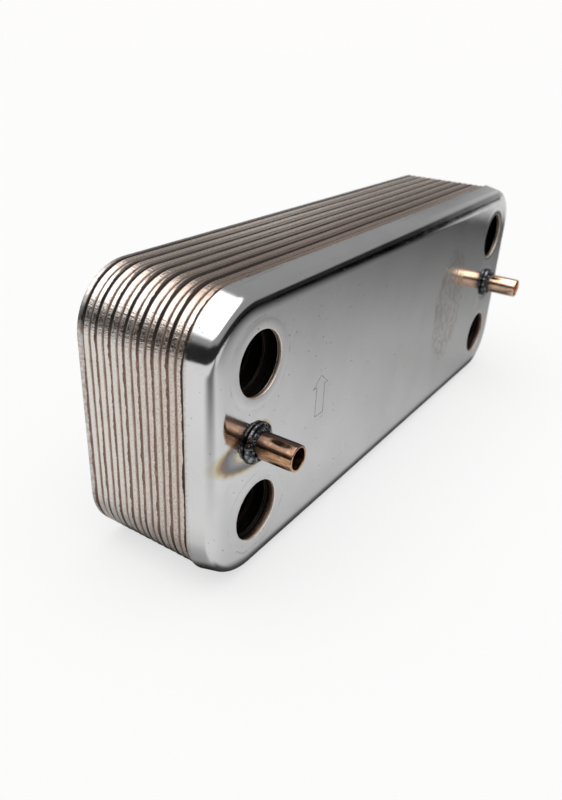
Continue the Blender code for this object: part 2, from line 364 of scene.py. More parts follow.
class Shader(Nodes):
    """A material's node tree. The place and its x, y and z are in millimetres."""

    def __init__(self, name):
        self.material = bpy.data.materials.new(name)
        self.material.use_nodes = True
        super().__init__(self.material.node_tree)
        self.surface = self.tree.nodes["Principled BSDF"]
        self.place = self.multiply(self.coordinates["Object"], (1 / MM, 1 / MM, 1 / MM))
        self.x, self.y, self.z = self.split(self.place)

    def multiply(self, vector, factors):
        return self.feed(self.new("VectorMath", operation="MULTIPLY"), vector, factors)

    def stretched(self, x, y, z):
        """The place with each axis scaled, for streaks."""
        return self.multiply(self.place, (x, y, z))

    def noise(self, scale, detail=2.0, roughness=0.5, vector=None, distortion=0.0):
        """Noise from 0 to 1 whose features are about 1/scale millimetres."""
        node = self.new("TexNoise")
        self.link(vector or self.place, node.inputs["Vector"])
        node.inputs["Scale"].default_value = scale
        node.inputs["Detail"].default_value = detail
        node.inputs["Roughness"].default_value = roughness
        node.inputs["Distortion"].default_value = distortion
        return node.outputs["Fac"]

    def swing(self, value, size):
        """A noise centred on 0 instead of 0.5, and scaled."""
        return self.mul(self.sub(value, 0.5), size)

    def spots(self, scale):
        """The distance to the nearest of many scattered points."""
        node = self.new("TexVoronoi")
        self.link(self.place, node.inputs["Vector"])
        node.inputs["Scale"].default_value = scale
        return node.outputs["Distance"]

    def mix(self, factor, a, b, blend="MIX"):
        node = self.new("Mix", data_type="RGBA", blend_type=blend)
        self.link(factor, node.inputs[0])
        self.link(a, node.inputs[6])
        self.link(b, node.inputs[7])
        return node.outputs[2]

    def paint(self, colour, mask, strength, other):
        """The colour with another one laid over it where the mask is 1."""
        return self.mix(self.mul(mask, strength), colour, other)

    def ramp(self, value, stops):
        """A colour ramp from (position, (r, g, b)) stops."""
        node = self.new("ValToRGB")
        self.link(value, node.inputs[0])
        elements = node.color_ramp.elements
        elements[0].position, elements[0].color = stops[0][0], (*stops[0][1], 1.0)
        elements[1].position, elements[1].color = stops[-1][0], (*stops[-1][1], 1.0)
        for position, colour in stops[1:-1]:
            elements.new(position).color = (*colour, 1.0)
        return node.outputs[0]

    def attribute(self, name):
        return self.new("Attribute", attribute_name=name).outputs["Fac"]

    def bump(self, height, depth_mm, strength=1.0, normal=None):
        node = self.new("Bump")
        node.inputs["Distance"].default_value = depth_mm * MM
        node.inputs["Strength"].default_value = strength
        self.link(height, node.inputs["Height"])
        if normal is not None:
            self.link(normal, node.inputs["Normal"])
        return node.outputs[0]

    def finish(self, colour, roughness, normal, metallic=1.0, **others):
        """Feeds the surface's inputs. An underscore in a name stands for a space."""
        inputs = {"Base_Color": colour, "Roughness": roughness, "Normal": normal, "Metallic": metallic}
        inputs.update(others)
        for name, value in inputs.items():
            self.link(value, self.surface.inputs[name.replace("_", " ")])
        return self.material


# Materials -----------------------------------------------------------------------------------------

STEEL = (0.60, 0.605, 0.61)
STEEL_GREY = (0.56, 0.565, 0.57)
STEEL_DULL = (0.46, 0.455, 0.45)
# Near-black painted shade for deep grooves and the insides of ports
SHADE_BLACK = (0.012, 0.011, 0.012)
BRAZE_SHADE_BLACK = (0.012, 0.010, 0.010)
BLACK = (0.0, 0.0, 0.0)
GROOVE_SHADE_STRENGTH = 0.94
PORT_SHADE_STRENGTH = 0.89

# Middle and size of the rippled stain on the cover, in mm
STAIN_X, STAIN_Z = 40.0, 1.0
STAIN_HALF_WIDTH, STAIN_HALF_HEIGHT = 13.5, 21.0
LAND_SHADE_RADIUS = 11.4
TINT_REACH = 7.0
# (share of the reach from the weld's middle, colour)
TEMPER_COLOURS = (
    (0.0, (0.30, 0.25, 0.22)),
    (0.29, (0.36, 0.30, 0.26)),
    (0.36, (0.84, 0.82, 0.78)),
    (0.43, (0.84, 0.77, 0.56)),
    (0.48, (0.60, 0.52, 0.42)),
    (0.55, (0.38, 0.40, 0.43)),
    (0.64, (0.27, 0.265, 0.28)),
    (0.71, (0.36, 0.27, 0.23)),
    (0.77, (0.70, 0.54, 0.36)),
    (0.82, (0.90, 0.86, 0.70)),
    (0.90, (1.0, 1.0, 1.0)),
)


def heat_tint(shader, colour, centre_x, strength):
    """Temper colours round a weld bead, drawn out in a lobe towards the near end."""
    side = -1.0 if centre_x < 0 else 1.0
    outward = shader.mul(shader.sub(shader.x, centre_x), side)
    lobe = shader.add(shader.mul(shader.math("MAXIMUM", outward, 0.0), 0.36),
                      shader.mul(shader.math("MINIMUM", outward, 0.0), 1.06))
    distance = shader.length(lobe, shader.add(shader.z, 0.4))
    distance = shader.add(distance, shader.swing(shader.noise(0.45, 3.0), 0.77))
    tint = shader.ramp(shader.math("DIVIDE", distance, TINT_REACH, clamp=True), TEMPER_COLOURS)
    return shader.mix(strength, colour, tint, "MULTIPLY")


def from_port_axis(shader):
    """Distance from the nearest port's axis, in mm."""
    return shader.length(shader.sub(shader.absolute(shader.x), PORT_X / MM),
                         shader.sub(shader.absolute(shader.z), PORT_Z / MM))


def port_shade(shader):
    """0 to 1: how dark a surface is because it lies deep inside a port."""
    return shader.mul(shader.between(from_port_axis(shader), 12.0, 13.5, 1.0, 0.0),
                      shader.between(shader.y, 0.95, 2.4))


def land_ring_shade(shader):
    """0 to 1: a faint broken dark ring round each port, painted shade along the edge of the pressed land."""
    distance = shader.add(from_port_axis(shader), shader.swing(shader.noise(0.12, 2.0), 1.2))
    off = shader.absolute(shader.sub(distance, LAND_SHADE_RADIUS))
    line = shader.between(off, 0.05, 0.35, 1.0, 0.0)
    return shader.mul(line, shader.between(shader.noise(0.16, 4.0, 0.65), 0.47, 0.60))


def rippled_stain(shader):
    """0 to 0.52: a faint braze stain near the right-hand end."""
    off_centre = shader.length(shader.math("DIVIDE", shader.sub(shader.x, STAIN_X), STAIN_HALF_WIDTH),
                               shader.math("DIVIDE", shader.sub(shader.z, STAIN_Z), STAIN_HALF_HEIGHT))
    edge = shader.add(off_centre, shader.swing(shader.noise(0.2, 2.0), 0.35))
    ripple = shader.noise(0.42, 3.0, 0.5, shader.stretched(1.0, 1.0, 0.45), 2.2)
    return shader.mul(shader.between(edge, 0.85, 1.05, 1.0, 0.0),
                      shader.mul(shader.between(ripple, 0.44, 0.58), 0.52))


def make_cover_steel():
    """Bright pressed sheet, with pits, smudges, a stain, heat tints and a copper-washed rim."""
    shader = Shader("cover_steel")
    y = shader.y
    colour = shader.mix(shader.between(shader.noise(0.05, 3.0, 0.55), 0.35, 0.7), STEEL, STEEL_GREY)
    pits = shader.mul(shader.between(shader.spots(0.55), 0.05, 0.16, 1.0, 0.0),
                      shader.between(shader.noise(0.11, 2.0), 0.46, 0.60))
    colour = shader.paint(colour, pits, 0.75, (0.10, 0.10, 0.11))
    smudge = shader.between(shader.noise(0.09, 4.0, 0.65, distortion=1.5), 0.55, 0.8)
    colour = shader.paint(colour, smudge, 0.16, (0.34, 0.33, 0.32))
    # A faint dark ring round each port is painted shade along the land's edge.
    ring_shade_mask = land_ring_shade(shader)
    colour = shader.paint(colour, ring_shade_mask, 0.40, (0.22, 0.22, 0.23))
    on_front = shader.between(y, 2.6, 4.2, 1.0, 0.0)
    for centre_x, strength in ((-PORT_X / MM, 1.0), (PORT_X / MM, 0.5)):
        colour = shader.mix(on_front, colour, heat_tint(shader, colour, centre_x, strength))
    stain = rippled_stain(shader)
    colour = shader.mix(stain, colour, (0.30, 0.235, 0.20))
    # The skirt's rim is washed with copper.
    rim = shader.sum(shader.between(y, 5.4, 7.8), (shader.noise(1.4, 4.0, 0.7), 1.4))
    rim = shader.between(rim, 1.0, 1.7)
    colour = shader.paint(colour, rim, 0.75, (0.34, 0.255, 0.21))
    streak = shader.between(shader.noise(1.0, 3.0, 0.6, shader.stretched(0.05, 2.2, 0.05)), 0.50, 0.68)
    streak = shader.mul(streak, shader.between(y, 4.8, 6.2))
    colour = shader.paint(colour, streak, 0.55, (0.30, 0.28, 0.27))
    # A bright line round each port's sheared edge is a painted highlight.
    port_edge_highlight = shader.between(from_port_axis(shader), 8.14, 8.30, 1.0, 0.0)
    colour = shader.mix(port_edge_highlight, colour, (0.90, 0.78, 0.68))

    roughness = shader.sum(shader.between(shader.noise(0.07, 4.0, 0.6), 0.3, 0.75, 0.085, 0.16),
                           (stain, 0.18), (pits, 0.3), (rim, 0.15), (port_edge_highlight, 0.45))
    scratches = shader.noise(1.0, 3.0, 0.6, shader.stretched(0.12, 1.0, 3.0))
    cross_scratches = shader.noise(1.0, 2.0, 0.6, shader.stretched(2.6, 1.0, 0.10))
    fine = shader.noise(2.2, 4.0, 0.6)
    height = shader.sum(shader.mul(scratches, 0.5), (cross_scratches, 0.3), (fine, 0.35),
                        (pits, -2.5), (ring_shade_mask, -0.5))
    waves = shader.bump(shader.noise(0.035, 1.0), 0.5, 0.22, shader.bump(height, 0.012, 0.5))
    return shader.finish(colour, roughness, waves)


def make_rear_steel():
    """The rear cover's sheet: duller, with copper flow marks from the furnace."""
    shader = Shader("rear_steel")
    flow = shader.noise(0.10, 5.0, 0.6, shader.stretched(0.5, 1.0, 1.3), 1.6)
    colour = shader.mix(shader.between(shader.noise(1.2, 4.0), 0.35, 0.65), STEEL, STEEL_DULL)
    copper = shader.between(flow, 0.60, 0.72, 0.0, 0.55)
    colour = shader.mix(copper, colour, (0.46, 0.31, 0.23))
    rim = shader.mul(shader.between(shader.y, 36.5, 38.4), shader.between(shader.noise(0.9, 4.0), 0.35, 0.65))
    colour = shader.paint(colour, rim, 0.6, (0.38, 0.25, 0.19))
    # The deep groove in front of the rim is painted black as shade.
    colour = shader.paint(colour, shader.attribute("groove"), GROOVE_SHADE_STRENGTH, SHADE_BLACK)
    roughness = shader.sum(shader.between(flow, 0.3, 0.7, 0.22, 0.34), (rim, 0.1))
    height = shader.sum(shader.noise(1.8, 4.0, 0.6), (copper, 0.8))
    waves = shader.bump(shader.noise(0.05, 1.0), 0.5, 0.25, shader.bump(height, 0.02, 0.6))
    return shader.finish(colour, roughness, waves)


def make_plate_steel():
    """Thin pressed sheet. The seam attribute is 1 at a seam and 0 at the middle of a band.

    The groove attribute is 1 where the sheet lies in a deep groove, which is painted black as shade.
    """
    shader = Shader("plate_steel")
    x, y, z = shader.x, shader.y, shader.z
    speckle = shader.noise(1.7, 4.0, 0.7)
    rear = shader.between(y, 8.0, 36.0)
    light = shader.mix(rear, (0.60, 0.545, 0.50), (0.68, 0.65, 0.62))
    dull = shader.mix(rear, (0.42, 0.355, 0.315), (0.60, 0.57, 0.54))
    colour = shader.mix(shader.between(speckle, 0.36, 0.60), dull, light)
    # The long sides are browner, lighter towards the rear, and darkened as painted shade over the top near
    # the left-hand end.
    long_side = shader.between(shader.absolute(z), 33.0, 36.5)
    long_side_brown = shader.mix(rear, (0.44, 0.325, 0.265), (1.0, 0.88, 0.79))
    top_left_shade = shader.mul(shader.between(x, -70.0, -25.0, 0.55, 0.0), shader.between(z, 20.0, 34.0))
    long_side_brown = shader.mix(top_left_shade, long_side_brown, (0.20, 0.15, 0.125))
    colour = shader.paint(colour, long_side, 0.85, long_side_brown)
    seam = shader.add(shader.attribute("seam"), shader.swing(speckle, 1.1),
                      shader.swing(shader.noise(0.16, 3.0, 0.6), 0.7))
    seam = shader.between(seam, 0.34, 1.0)
    seam_copper = shader.mix(long_side, (0.30, 0.218, 0.178), (0.225, 0.157, 0.128))
    colour = shader.paint(colour, seam, 0.90, seam_copper)
    # Deep grooves and the insides of ports are painted black as shade.
    black = shader.between(shader.add(shader.attribute("groove"), shader.swing(speckle, 0.5)), 0.18, 0.62)
    black = shader.mul(black, shader.inverse(shader.mul(rear, 0.10)))
    black = shader.math("MAXIMUM", shader.mul(black, GROOVE_SHADE_STRENGTH),
                        shader.mul(port_shade(shader), PORT_SHADE_STRENGTH))
    colour = shader.mix(black, colour, SHADE_BLACK)
    roughness = shader.sum(shader.between(speckle, 0.3, 0.7, 0.17, 0.30), (seam, 0.15), (black, 0.25))
    # Fine puckers run across the bands at the corners.
    corner = shader.between(shader.absolute(x), 64.0, 80.0)
    pucker = shader.noise(1.0, 2.0, 0.6, shader.stretched(1.5, 0.12, 1.5))
    height = shader.sum(shader.noise(2.6, 3.0, 0.6), (seam, 0.5), (shader.mul(pucker, corner), 2.2))
    return shader.finish(colour, roughness, shader.bump(height, 0.05, 0.8))


def make_braze():
    """Copper left by the furnace. The groove attribute is 1 where a groove is deep; there the copper is
    painted black as shade.
    """
    shader = Shader("braze_metal")
    grain = shader.noise(2.2, 4.0, 0.7)
    patch = shader.between(shader.noise(0.4, 3.0, 0.6), 0.54, 0.74, 0.0, 0.6)
    colour = shader.mix(shader.between(grain, 0.36, 0.62), (0.10, 0.068, 0.055), (0.32, 0.215, 0.168))
    colour = shader.mix(patch, colour, (0.52, 0.33, 0.23))
    # Deep grooves and the insides of ports are painted black as shade.
    black = shader.math("MAXIMUM", shader.mul(shader.attribute("groove"), GROOVE_SHADE_STRENGTH),
                        shader.mul(port_shade(shader), PORT_SHADE_STRENGTH))
    colour = shader.mix(black, colour, BRAZE_SHADE_BLACK)
    roughness = shader.between(grain, 0.3, 0.7, 0.34, 0.58)
    return shader.finish(colour, roughness, shader.bump(grain, 0.10, 0.9))


def make_copper():
    """Drawn tube with lengthwise streaks, darker near the weld, with a painted dark reflection on the
    left-hand stud's upper side.
    """
    shader = Shader("stud_copper")
    streak = shader.noise(1.0, 4.0, 0.65, shader.stretched(3.2, 0.24, 3.2))
    blotch = shader.noise(0.55, 4.0, 0.6, distortion=0.8)
    # The right-hand stud's copper is painted paler, as a painted highlight.
    right_stud_lit = shader.between(shader.x, -10.0, 10.0)
    dark_copper = shader.mix(right_stud_lit, (0.36, 0.195, 0.11), (0.78, 0.48, 0.31))
    pale_copper = shader.mix(right_stud_lit, (0.66, 0.40, 0.25), (1.0, 0.76, 0.57))
    colour = shader.mix(shader.between(streak, 0.38, 0.64), dark_copper, pale_copper)
    colour = shader.mix(shader.between(blotch, 0.52, 0.72, 0.0, 0.55), colour, (0.20, 0.115, 0.075))
    # The left-hand stud's upper side is painted dark, as a painted reflection of the dark room.
    above = shader.between(shader.add(shader.z, shader.swing(blotch, 5.0)), 1.0, 2.8)
    painted_dark_top = shader.mul(above, shader.between(shader.x, -10.0, 10.0, 0.78, 0.0))
    colour = shader.mix(painted_dark_top, colour, (0.15, 0.10, 0.08))
    near_weld = shader.between(shader.y, -4.6, -2.0, 0.0, 0.85)
    colour = shader.mix(near_weld, colour, (0.13, 0.085, 0.07))
    roughness = shader.between(blotch, 0.35, 0.7, 0.12, 0.28)
    height = shader.sum(streak, (shader.noise(3.5, 3.0), 0.5))
    return shader.finish(colour, roughness, shader.bump(height, 0.03, 0.5))


def make_weld():
    """Dark glassy weld metal with a few coppery patches."""
    shader = Shader("weld_metal")
    patch = shader.noise(0.7, 3.0, 0.6)
    copper = shader.between(shader.noise(0.5, 2.0), 0.62, 0.72, 0.0, 0.6)
    colour = shader.mix(shader.between(patch, 0.44, 0.68), (0.028, 0.030, 0.034), (0.26, 0.27, 0.29))
    colour = shader.mix(copper, colour, (0.34, 0.20, 0.13))
    roughness = shader.between(patch, 0.3, 0.7, 0.10, 0.22)
    return shader.finish(colour, roughness, shader.bump(shader.noise(0.9, 2.0, 0.6), 0.10, 0.5))


def make_mark():
    """Thin brown marking ink."""
    shader = Shader("marking_ink")
    grain = shader.noise(4.0, 2.0)
    colour = shader.mix(shader.between(grain, 0.35, 0.6), (0.16, 0.11, 0.09), (0.36, 0.30, 0.27))
    return shader.finish(colour, 0.5, shader.bump(grain, 0.01), metallic=0.4)


COVER_STEEL = make_cover_steel()
REAR_STEEL = make_rear_steel()
PLATE_STEEL = make_plate_steel()
BRAZE = make_braze()
COPPER = make_copper()
WELD = make_weld()
MARK = make_mark()


# Covers --------------------------------------------------------------------------------------------

LAND_RISE = 0.05 * MM
LAND_FOOT_RADIUS = 11.1 * MM
LAND_TOP_RADIUS = 9.9 * MM
SEAT_GAP = 0.15 * MM
DIMPLE_RADIUS = 10.0 * MM
DIMPLE_SLOPE = 1.4 * MM
DIMPLE_DEPTH = 0.5 * MM


def land_loops(bm, centre, steps):
    """The raised sealing land round a port, from the face to the port's edge."""
    loops = []
    for share in (0.0, 0.25, 0.5, 0.75, 1.0):
        radius = LAND_FOOT_RADIUS + (LAND_TOP_RADIUS - LAND_FOOT_RADIUS) * share
        loops.append(circle_loop(bm, centre, radius, -LAND_RISE * smooth_step(share), steps))
    loops.append(circle_loop(bm, centre, COVER_PORT_RADIUS, -LAND_RISE, steps))
    return loops


def finish_cover(name, bm, material, node):
    """Makes the cover's piece from its outer sheet."""
    cover = new_piece(name, bm, material, "stainless_cover", node)
    shade(cover)
    add_thickness(cover, COVER_THICKNESS, COVER_EDGE)


def make_front_cover():
    """The pressed cover, with four ports in raised lands and a seat round each stud."""
    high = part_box("front_cover")[1]
    depth = high.y - COVER_THICKNESS * math.sin(SKIRT_FLARE)
    points = outline(high.x, high.z, COVER_CORNER_RADIUS, 28, SIDE_STEP)
    bm = bmesh.new()
    profile = skirt_profile(depth, COVER_BEND, COVER_SKIRT_LOOPS)
    loops = [ring_loop(bm, points, inset, y) for inset, y in profile]
    skin(bm, loops)
    port_loops = [land_loops(bm, centre, 72) for centre in ports()]
    for stages in port_loops:
        skin(bm, stages)
    seats = []
    for word in ("left", "right"):
        centre, radius = axis_of(f"stud_{word}")
        seats.append(circle_loop(bm, centre, radius + SEAT_GAP, 0.0, 40))
    fill_between(bm, [loops[0]] + [stages[0] for stages in port_loops] + seats)
    face_front(bm)
    finish_cover("front_cover_shell", bm, COVER_STEEL, "front_cover")


def make_rear_cover():
    """The blind cover, with a shallow dimple opposite each port."""
    low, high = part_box("rear_cover")
    depth = high.y - COVER_THICKNESS * math.sin(SKIRT_FLARE) - low.y
    points = outline(high.x, high.z, CORNER_RADIUS, 24, SIDE_STEP)
    bm = bmesh.new()
    groove = bm.verts.layers.float.new("groove")
    profile = skirt_profile(depth, REAR_BEND, SKIRT_LOOPS)
    loops = [ring_loop(bm, points, inset, y) for inset, y in profile]
    mark_groove(loops, profile, depth, groove, CHANNEL_PLATES + 1)
    skin(bm, loops)
    dimples = []
    for centre in ports():
        stages = []
        for share in (0.0, 0.2, 0.4, 0.6, 0.8, 1.0):
            radius = DIMPLE_RADIUS - DIMPLE_SLOPE * share
            stages.append(circle_loop(bm, centre, radius, DIMPLE_DEPTH * smooth_step(share), 48))
        skin(bm, stages)
        bm.faces.new(stages[-1])
        dimples.append(stages[0])
    fill_between(bm, [loops[0]] + dimples)
    face_front(bm)
    shift_back(bm, low.y)
    finish_cover("rear_cover_shell", bm, REAR_STEEL, "rear_cover")


# Channel plates ------------------------------------------------------------------------------------

FIELD_HALF_WIDTH = 31.0 * MM
FIELD_RIM = 2.6 * MM
FIELD_FIRST_APEX = -44.0 * MM
FIELD_LAST_APEX = 72.0 * MM
FIELD_WAVES = 17
FIELD_STEPS = 6
FIELD_ROWS = 16
FIELD_LIFT = 0.78 * MM
CHEVRON_SLOPE = math.tan(math.radians(30.0))
LAND_LIFT = 0.825 * MM
# (radius, share of the land's height) from the face to the hole's edge
PLATE_LAND = ((12.3 * MM, 0.0), (11.6 * MM, 0.5), (10.9 * MM, 1.0), (8.1 * MM, 1.0))
LAND_SEAM = 0.8
RIM_WAVELENGTH = 22.0 * MM
# In front of this distance from the face, a plate's skirt is even.
EVEN_DEPTH = 2.0 * MM


def field_grid(bm, turn):
    """The herringbone's vertices, still flat: its border, and the height that each vertex gets later."""
    lines = FIELD_WAVES * FIELD_STEPS
    grid, lifts = [], {}
    for line in range(lines + 1):
        apex = FIELD_FIRST_APEX + (FIELD_LAST_APEX - FIELD_FIRST_APEX) * line / lines
        column = []
        for row in range(FIELD_ROWS + 1):
            z = FIELD_HALF_WIDTH * (2 * row / FIELD_ROWS - 1)
            x = apex - abs(z) * CHEVRON_SLOPE
            fade_z = min(1.0, (FIELD_HALF_WIDTH - abs(z)) / FIELD_RIM)
            fade_x = min(1.0, min(line, lines - line) / FIELD_STEPS * 1.2)
            vert = bm.verts.new((x * turn, 0.0, z * turn))
            lifts[vert] = FIELD_LIFT * math.cos(2 * math.pi * line / FIELD_STEPS) * fade_z * fade_x
            column.append(vert)
        grid.append(column)
    for first, second in zip(grid, grid[1:]):
        for row in range(FIELD_ROWS):
            bm.faces.new((first[row], second[row], second[row + 1], first[row + 1]))
    border = grid[0] + [column[-1] for column in grid[1:]]
    border += list(reversed(grid[-1][:-1])) + [column[0] for column in reversed(grid[1:-1])]
    return border, lifts


def rim_wobble(index, strength):
    """A slow unevenness of a rim, different for each plate, as (inset, y)."""

    def wobble(x, z):
        here = Vector((x, z, 0.0)) / RIM_WAVELENGTH
        own = Vector((0.0, 0.0, index * 3.17))
        shared = noise.noise(here * 0.5)
        inset = 0.10 * MM * shared + 0.05 * MM * noise.noise(here * 1.6 + own)
        depth = 0.09 * MM * noise.noise(here * 1.2 + own * 1.7) + 0.03 * MM * noise.noise(here * 9.0 + own)
        return inset * strength, depth * strength

    return wobble


def mark_seam(loops, profile, depth, layer):
    """Browns a skirt where it leaves the groove in front, and at its own edge."""
    for loop, (_, y) in zip(loops, profile):
        ahead = (depth - y) / PITCH
        brown = max(smooth_step(ahead, 0.40, 0.72), 1.0 - smooth_step(ahead, 0.04, 0.20))
        for vert in loop:
            vert[layer] = brown


def make_channel_plate(index):
    """A thin pan with the herringbone and four lands. Even plates are turned half a turn."""
    node = f"channel_plate_{index:02d}"
    low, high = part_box(node)
    turn = -1.0 if index % 2 == 0 else 1.0
    face_y = low.y + LAND_LIFT
    depth = high.y - SHEET_THICKNESS * math.sin(SKIRT_FLARE) - face_y
    points = outline(high.x, high.z, CORNER_RADIUS, 18, SIDE_STEP)
    bm = bmesh.new()
    seam = bm.verts.layers.float.new("seam")
    groove = bm.verts.layers.float.new("groove")
    border, lifts = field_grid(bm, turn)
    profile = skirt_profile(depth, PLATE_BEND, SKIRT_LOOPS)
    loops = []
    for inset, y in profile:
        share = max(0.0, (y - EVEN_DEPTH) / (depth - EVEN_DEPTH))
        loops.append(ring_loop(bm, points, inset, y, rim_wobble(index, share)))
    mark_seam(loops, profile, depth, seam)
    mark_groove(loops, profile, depth, groove, index)
    skin(bm, loops)
    lands = []
    for centre in ports():
        level = -LAND_LIFT if centre[1] * turn > 0 else LAND_LIFT
        stages = [circle_loop(bm, centre, radius, level * share, 48) for radius, share in PLATE_LAND]
        skin(bm, stages)
        lands.append(stages[0])
        for vert in stages[-1] + stages[-2]:
            vert[seam] = LAND_SEAM
    fill_between(bm, [loops[0], border] + lands)
    for vert, lift in lifts.items():
        vert.co.y = lift
    face_front(bm)
    shift_back(bm, face_y)
    plate = new_piece(f"channel_pan_{index:02d}", bm, PLATE_STEEL, "stainless_plate", node)
    shade(plate)
    add_thickness(plate, SHEET_THICKNESS, SHEET_EDGE)


# Braze fillets ---------------------------------------------------------------------------------------

# (share of the pitch behind the rim, height above the next skirt as a share of the step between rims)
DEEP_FILLET = ((0.03, -0.30), (0.03, 0.22), (0.08, 0.20), (0.16, 0.16),
               (0.26, 0.12), (0.38, 0.07), (0.50, 0.0), (0.50, -0.30))
FULL_FILLET = ((0.03, -0.30), (0.03, 0.62), (0.07, 0.60), (0.13, 0.44),
               (0.19, 0.28), (0.25, 0.14), (0.33, 0.0), (0.33, -0.30))
FILLET_START = 0.24 * MM
FILLET_STEP = 0.45 * MM
DEEP_ROUGHNESS = 0.03 * MM
FULL_ROUGHNESS = 0.06 * MM
# Loops nearer the rim than this share of the pitch keep their distance from it.
FILLET_STEADY_SHARE = 0.15


def make_braze_seam(index):
    """The fillet behind a rim: nearly full in a shallow groove, low in a deep one."""
    node = f"braze_seam_{index:02d}"
    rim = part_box(node)[0].y - FILLET_START
    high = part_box("channel_plate_05")[1]
    points = outline(high.x, high.z, CORNER_RADIUS, 40, FILLET_STEP)
    bm = bmesh.new()
    groove = bm.verts.layers.float.new("groove")
    deep = is_deep(index - 1)
    rim_step = PITCH * math.tan(SKIRT_FLARE)
    wobble = rim_wobble(index, 1.0)
    loops = []
    for share, height in DEEP_FILLET if deep else FULL_FILLET:
        loop = []
        for x, z, out_x, out_z in points:
            here = Vector((x, z, 0.0)) / MM
            own = Vector((0.0, 0.0, index * 5.3 + share * 2.0))
            reach = 1.0
            if share > FILLET_STEADY_SHARE:
                reach += 0.24 * noise.noise(here * 0.30 + own) + 0.20 * noise.noise(here * 1.3 + own)
            back = PITCH * share * reach
            lift = height * rim_step * (1.0 + 0.25 * noise.noise(here * 0.2 + own))
            if height > 0.0:
                rough = noise.noise(here * 0.9 + own) * 0.6 + noise.noise(here * 2.1 + own) * 0.5
                lift += (DEEP_ROUGHNESS if deep else FULL_ROUGHNESS) * rough
            inset = rim_step * (1 - back / PITCH) - lift + wobble(x, z)[0]
            vert = bm.verts.new((x - out_x * inset, rim + back, z - out_z * inset))
            if deep:
                vert[groove] = groove_weight(z, index - 1)
            loop.append(vert)
        loops.append(loop)
    skin(bm, loops + [loops[0]])
    bmesh.ops.recalc_face_normals(bm, faces=bm.faces)
    seam = new_piece(f"copper_fillet_{index:02d}", bm, BRAZE, "braze", node)
    shade(seam, 50.0)


# Studs, beads and spacers ----------------------------------------------------------------------------

# BORE_PROFILE holds (radius, distance from the stud's tip), from the bore's bottom to its mouth.
MOUTH_RADIUS = 2.7 * MM
BORE_RADIUS = 2.6 * MM
BORE_PROFILE = (
    (0.0, 9.5 * MM), (1.8 * MM, 9.1 * MM), (BORE_RADIUS, 8.3 * MM),
    (BORE_RADIUS, 1.6 * MM), (MOUTH_RADIUS, 0.7 * MM),
)
MOUTH_EDGE = 0.14 * MM
LIP = 0.26 * MM
WELD_LUMPS = 17
# (distance from the stud's axis, size, height above the face), in mm
WELD_RINGS = ((3.75, 0.72, 1.15), (4.45, 0.92, 0.40), (3.62, 0.42, 1.75))
SPACER_BORE_RADIUS = 8.3 * MM
SPACER_EDGE = 0.2 * MM
TURNED_STEPS = 64


def turned_piece(name, profile, material, slot, centre, closed, node):
    """A body of revolution about a line parallel to Y: the profile holds (radius, y)."""
    bm = bmesh.new()
    verts = [bm.verts.new((radius, y, 0.0)) for radius, y in profile]
    ends = verts[1:] + verts[:1] if closed else verts[1:]
    edges = [bm.edges.new((a, b)) for a, b in zip(verts, ends)]
    bmesh.ops.spin(bm, geom=verts + edges, axis=(0, 1, 0), cent=(0, 0, 0),
                   angle=2 * math.pi, steps=TURNED_STEPS)
    bmesh.ops.remove_doubles(bm, verts=bm.verts, dist=1e-7)
    bmesh.ops.recalc_face_normals(bm, faces=bm.faces)
    for vert in bm.verts:
        vert.co.x += centre[0]
        vert.co.z += centre[1]
    return new_piece(name, bm, material, slot, node)


def arc(centre_radius, centre_y, size, start, end, steps):
    """Points of a fillet in a turned profile. Angles in degrees, 0 outwards and 90 towards +Y."""
    points = []
    for step in range(steps + 1):
        angle = math.radians(start + (end - start) * step / steps)
        points.append((centre_radius + size * math.cos(angle), centre_y + size * math.sin(angle)))
    return points


def make_stud(word):
    """A hollow stud with a thin rounded lip round its mouth."""
    node = f"stud_{word}"
    low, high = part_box(node)
    centre, radius = axis_of(node)
    tip = low.y
    profile = [(inner, tip + distance) for inner, distance in BORE_PROFILE]
    profile += arc(MOUTH_RADIUS + MOUTH_EDGE, tip + MOUTH_EDGE, MOUTH_EDGE, 180, 270, 5)
    profile += arc(radius - LIP - 0.06 * MM, tip + LIP, LIP, 270, 360, 7)
    profile += [(radius - 0.05 * MM, tip + 0.7 * MM), (radius, tip + 1.4 * MM), (radius, tip + 4.0 * MM)]
    profile += [(radius, high.y), (0.0, high.y)]
    shade(turned_piece(f"copper_stud_{word}", profile, COPPER, "copper", centre, False, node), 40.0)


def weld_lumps(bm, seed):
    """Overlapping ripples round the Y axis, at the face's height."""
    for i in range(WELD_LUMPS):
        angle = 2 * math.pi * i / WELD_LUMPS
        jitter = noise.noise(Vector((i * 1.7, seed, 0.4)))
        wide = noise.noise(Vector((i * 2.3, seed, 1.9)))
        for ring, (reach, size, height) in enumerate(WELD_RINGS):
            r = (reach + 0.28 * jitter) * MM
            a = angle + ring * 0.16 + 0.12 * wide
            rise = height * (1.0 + 0.28 * jitter) * MM
            place = Matrix.Translation((r * math.cos(a), -rise, r * math.sin(a)))
            lean = Matrix.Rotation(-a, 4, "Y") @ Matrix.Diagonal((1.0, 0.92, 1.75, 1.0))
            lump = size * (1.0 + 0.30 * wide) * MM
            bmesh.ops.create_icosphere(bm, subdivisions=2, radius=lump, matrix=place @ lean)


